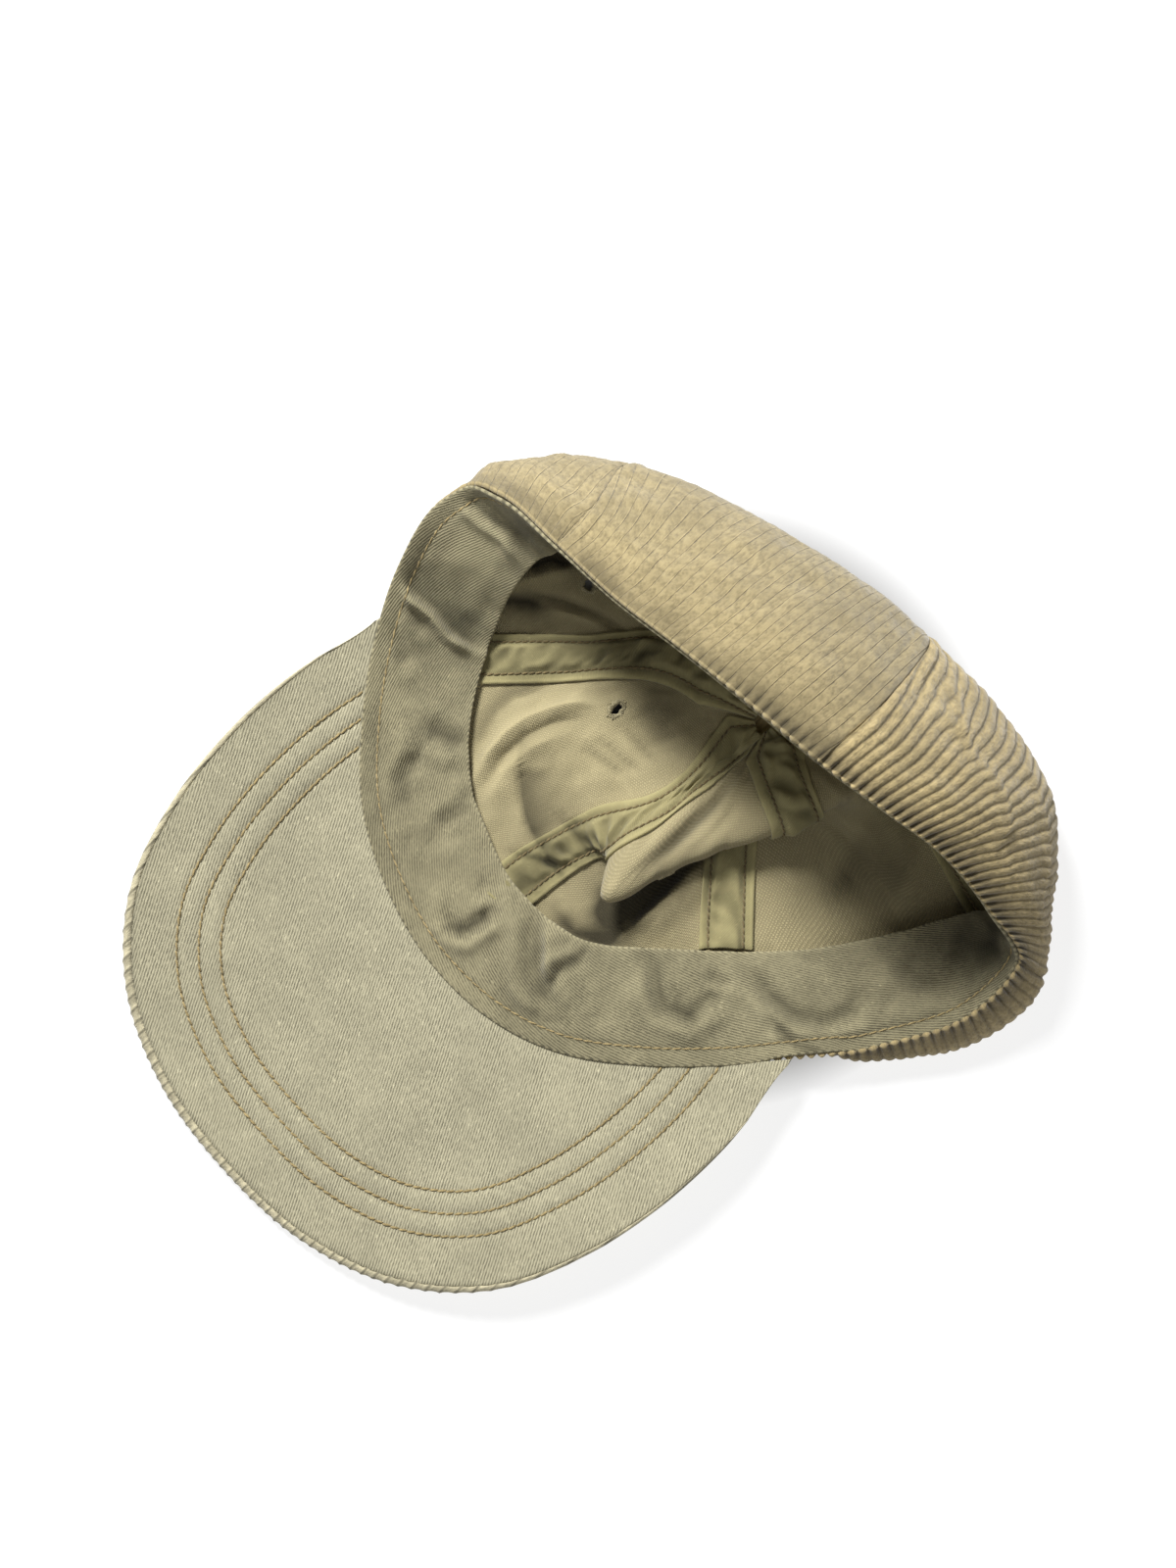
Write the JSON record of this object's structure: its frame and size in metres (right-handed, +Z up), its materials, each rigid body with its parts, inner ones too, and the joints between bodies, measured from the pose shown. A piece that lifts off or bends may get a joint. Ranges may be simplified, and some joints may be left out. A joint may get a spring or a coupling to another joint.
{
  "type": "long-bill cap",
  "caption": "Soft corduroy cap with a long curved bill, lying upside down on a table with its crown collapsed and its hollow open upward.",
  "frame": {"origin": "centre of the bounding box, on the table that the cap lies on", "axes": "+Z up as the cap lies, with its crown down; -Y the way the bill points; +X to the right of the opening as seen from above with the bill towards the viewer"},
  "size_m": [0.224, 0.258, 0.0743],
  "materials": {
    "corduroy": "matte",
    "eyelet_thread": "matte",
    "seam_tape": "matte",
    "band_twill": "matte",
    "bill_twill": "matte"
  },
  "bodies": {
    "root": {"crown_panel_back_left": "corduroy", "crown_panel_side_left": "corduroy", "crown_panel_front_left": "corduroy", "crown_panel_front_right": "corduroy", "crown_panel_side_right": "corduroy", "crown_panel_back_right": "corduroy", "eyelet_back_left": "eyelet_thread", "eyelet_side_left": "eyelet_thread", "eyelet_front_left": "eyelet_thread", "eyelet_front_right": "eyelet_thread", "eyelet_side_right": "eyelet_thread", "eyelet_back_right": "eyelet_thread", "seam_tape_back": "seam_tape", "seam_tape_back_left": "seam_tape", "seam_tape_front_left": "seam_tape", "seam_tape_front": "seam_tape", "seam_tape_front_right": "seam_tape", "seam_tape_back_right": "seam_tape", "sweatband": "band_twill", "bill_cover": "corduroy", "bill_underside": "bill_twill", "top_button": "corduroy"}
  },
  "joints": []
}
